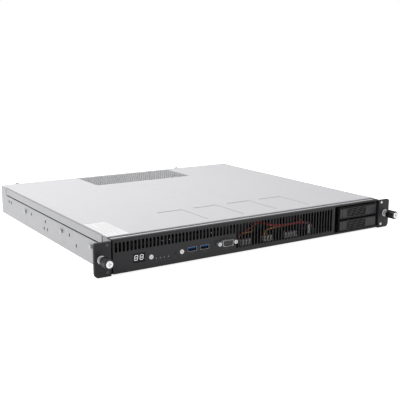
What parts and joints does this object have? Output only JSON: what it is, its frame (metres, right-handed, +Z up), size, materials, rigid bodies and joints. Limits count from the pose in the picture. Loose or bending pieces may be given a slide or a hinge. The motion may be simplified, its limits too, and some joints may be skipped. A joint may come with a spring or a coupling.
{
  "type": "rack server",
  "caption": "Short-depth rack server with lift-off steel lid, slotted black front with controls and drive carriers, fans, boards and power supply, and captive thumbscrews in its ears.",
  "frame": {"origin": "middle of the chassis' underside, half-way between front panel face and rear wall", "axes": "+X right seen from the front, +Y to the rear, +Z up"},
  "size_m": [0.4826, 0.4324, 0.0446],
  "materials": {
    "galvanised_sheet": "zinc-plated sheet steel, satin",
    "black_powder_coat": "fine-textured black powder coat",
    "nickel_steel": "bright nickel-plated steel",
    "black_plastic": "moulded ABS, matt",
    "carrier_plastic": "moulded glass-filled plastic, satin",
    "blue_plastic": "moulded blue PBT",
    "white_plastic": "moulded white nylon",
    "button_plastic": "moulded translucent white polycarbonate",
    "display_glass": "dark acrylic window",
    "lamp_lens": "clear light pipe",
    "green_board": "glass-epoxy laminate, green solder mask",
    "dark_board": "glass-epoxy laminate, black solder mask",
    "fin_aluminium": "extruded aluminium",
    "drive_metal": "cast and stamped aluminium",
    "socket_metal": "tinned steel shell",
    "wire_sleeve": "PVC insulation, red and yellow",
    "cable_sleeve": "braided black sleeve",
    "spring_steel": "phosphated spring steel"
  },
  "bodies": {
    "chassis": {"chassis_tray": "galvanised_sheet", "shoulder_pins": "nickel_steel", "front_panel": "black_powder_coat", "control_board": "green_board", "display_module": "display_glass", "indicator_lamps": "lamp_lens", "usb_shells": "socket_metal", "usb_tongues": "blue_plastic", "video_port": "nickel_steel", "ears": "black_powder_coat", "ear_brackets": "galvanised_sheet", "ear_screws": "nickel_steel", "thumbscrew_ferrules": "nickel_steel", "drive_cage": "galvanised_sheet", "drive_backplane": "green_board", "fan_frames": "black_plastic", "fan_holder": "galvanised_sheet", "fan_board": "dark_board", "fan_headers": "white_plastic", "fan_wires": "wire_sleeve", "system_board": "green_board", "board_standoffs": "nickel_steel", "processor": "dark_board", "heat_sink": "fin_aluminium", "memory_sockets": "black_plastic", "memory_modules": "green_board", "power_cables": "cable_sleeve", "rear_sockets": "socket_metal", "port_plate": "galvanised_sheet", "riser_board": "green_board", "slot_cover": "galvanised_sheet", "supply_case": "galvanised_sheet", "supply_board": "green_board", "supply_fan_frame": "black_plastic", "mains_inlet": "black_plastic"},
    "cover": {"cover_shell": "galvanised_sheet"},
    "cover_screw_left": {"cover_screw_left": "nickel_steel"},
    "cover_screw_right": {"cover_screw_right": "nickel_steel"},
    "power_button": {"power_button": "button_plastic"},
    "identity_button": {"identity_button": "button_plastic"},
    "reset_button": {"reset_button": "black_plastic"},
    "supply_rotor": {"supply_fan_rotor": "black_plastic"},
    "snap_ring_left": {"snap_ring_left": "spring_steel"},
    "thumbscrew_left": {"thumbscrew_left": "nickel_steel", "knob_left": "black_plastic"},
    "snap_ring_right": {"snap_ring_right": "spring_steel"},
    "thumbscrew_right": {"thumbscrew_right": "nickel_steel", "knob_right": "black_plastic"},
    "carrier_lower": {"carrier_lower": "carrier_plastic", "drive_lower": "drive_metal"},
    "lever_lower": {"lever_lower": "carrier_plastic"},
    "release_lower": {"release_lower": "carrier_plastic"},
    "carrier_upper": {"carrier_upper": "carrier_plastic", "drive_upper": "drive_metal"},
    "lever_upper": {"lever_upper": "carrier_plastic"},
    "release_upper": {"release_upper": "carrier_plastic"},
    "rotor_1": {"fan_rotor_1": "black_plastic"},
    "rotor_2": {"fan_rotor_2": "black_plastic"},
    "rotor_3": {"fan_rotor_3": "black_plastic"},
    "rotor_4": {"fan_rotor_4": "black_plastic"}
  },
  "joints": [
    {"name": "cover_lift", "type": "slide", "parent": "chassis", "child": "cover", "axis": [0, 0, 1], "range_m": [0, 0.08]},
    {"name": "cover_screw_left_turn", "type": "hinge", "parent": "chassis", "child": "cover_screw_left", "pos_m": [-0.19, 0.2042, 0.0396], "axis": [0, 1, 0], "continuous": true},
    {"name": "cover_screw_right_turn", "type": "hinge", "parent": "chassis", "child": "cover_screw_right", "pos_m": [0.115, 0.2042, 0.0396], "axis": [0, 1, 0], "continuous": true},
    {"name": "thumbscrew_left_push", "type": "slide", "parent": "chassis", "child": "snap_ring_left", "axis": [0, 1, 0], "range_m": [0, 0.005], "stiffness_N_per_m": 300, "springref_m": -0.002},
    {"name": "thumbscrew_left_turn", "type": "hinge", "parent": "snap_ring_left", "child": "thumbscrew_left", "pos_m": [-0.23255, -0.2108, 0.0216], "axis": [0, 1, 0], "continuous": true},
    {"name": "thumbscrew_right_push", "type": "slide", "parent": "chassis", "child": "snap_ring_right", "axis": [0, 1, 0], "range_m": [0, 0.005], "stiffness_N_per_m": 300, "springref_m": -0.002},
    {"name": "thumbscrew_right_turn", "type": "hinge", "parent": "snap_ring_right", "child": "thumbscrew_right", "pos_m": [0.23255, -0.2108, 0.0216], "axis": [0, 1, 0], "continuous": true},
    {"name": "carrier_lower_slide", "type": "slide", "parent": "chassis", "child": "carrier_lower", "axis": [0, -1, 0], "range_m": [0, 0.11]},
    {"name": "lever_lower_swing", "type": "hinge", "parent": "carrier_lower", "child": "lever_lower", "pos_m": [0.2129, -0.1979, 0.0121], "axis": [0, 0, 1], "range_deg": [0, 65]},
    {"name": "release_lower_press", "type": "slide", "parent": "carrier_lower", "child": "release_lower", "axis": [0, 1, 0], "range_m": [0, 0.002], "stiffness_N_per_m": 900, "springref_m": -0.001},
    {"name": "carrier_upper_slide", "type": "slide", "parent": "chassis", "child": "carrier_upper", "axis": [0, -1, 0], "range_m": [0, 0.11]},
    {"name": "lever_upper_swing", "type": "hinge", "parent": "carrier_upper", "child": "lever_upper", "pos_m": [0.2129, -0.1979, 0.0304], "axis": [0, 0, 1], "range_deg": [0, 65]},
    {"name": "release_upper_press", "type": "slide", "parent": "carrier_upper", "child": "release_upper", "axis": [0, 1, 0], "range_m": [0, 0.002], "stiffness_N_per_m": 900, "springref_m": -0.001},
    {"name": "power_button_press", "type": "slide", "parent": "chassis", "child": "power_button", "axis": [0, 1, 0], "range_m": [0, 0.0006], "stiffness_N_per_m": 2000, "springref_m": -0.0005},
    {"name": "identity_button_press", "type": "slide", "parent": "chassis", "child": "identity_button", "axis": [0, 1, 0], "range_m": [0, 0.0006], "stiffness_N_per_m": 2000, "springref_m": -0.0005},
    {"name": "reset_button_press", "type": "slide", "parent": "chassis", "child": "reset_button", "axis": [0, 1, 0], "range_m": [0, 0.0006], "stiffness_N_per_m": 1500, "springref_m": -0.0005},
    {"name": "fan_1_spin", "type": "hinge", "parent": "chassis", "child": "rotor_1", "pos_m": [-0.0861, -0.144, 0.021], "axis": [0, 1, 0], "continuous": true},
    {"name": "fan_2_spin", "type": "hinge", "parent": "chassis", "child": "rotor_2", "pos_m": [-0.0287, -0.144, 0.021], "axis": [0, 1, 0], "continuous": true},
    {"name": "fan_3_spin", "type": "hinge", "parent": "chassis", "child": "rotor_3", "pos_m": [0.0287, -0.144, 0.021], "axis": [0, 1, 0], "continuous": true},
    {"name": "fan_4_spin", "type": "hinge", "parent": "chassis", "child": "rotor_4", "pos_m": [0.0861, -0.144, 0.021], "axis": [0, 1, 0], "continuous": true},
    {"name": "supply_fan_spin", "type": "hinge", "parent": "chassis", "child": "supply_rotor", "pos_m": [0.15805, 0.1866, 0.02145], "axis": [0, 1, 0], "continuous": true}
  ]
}
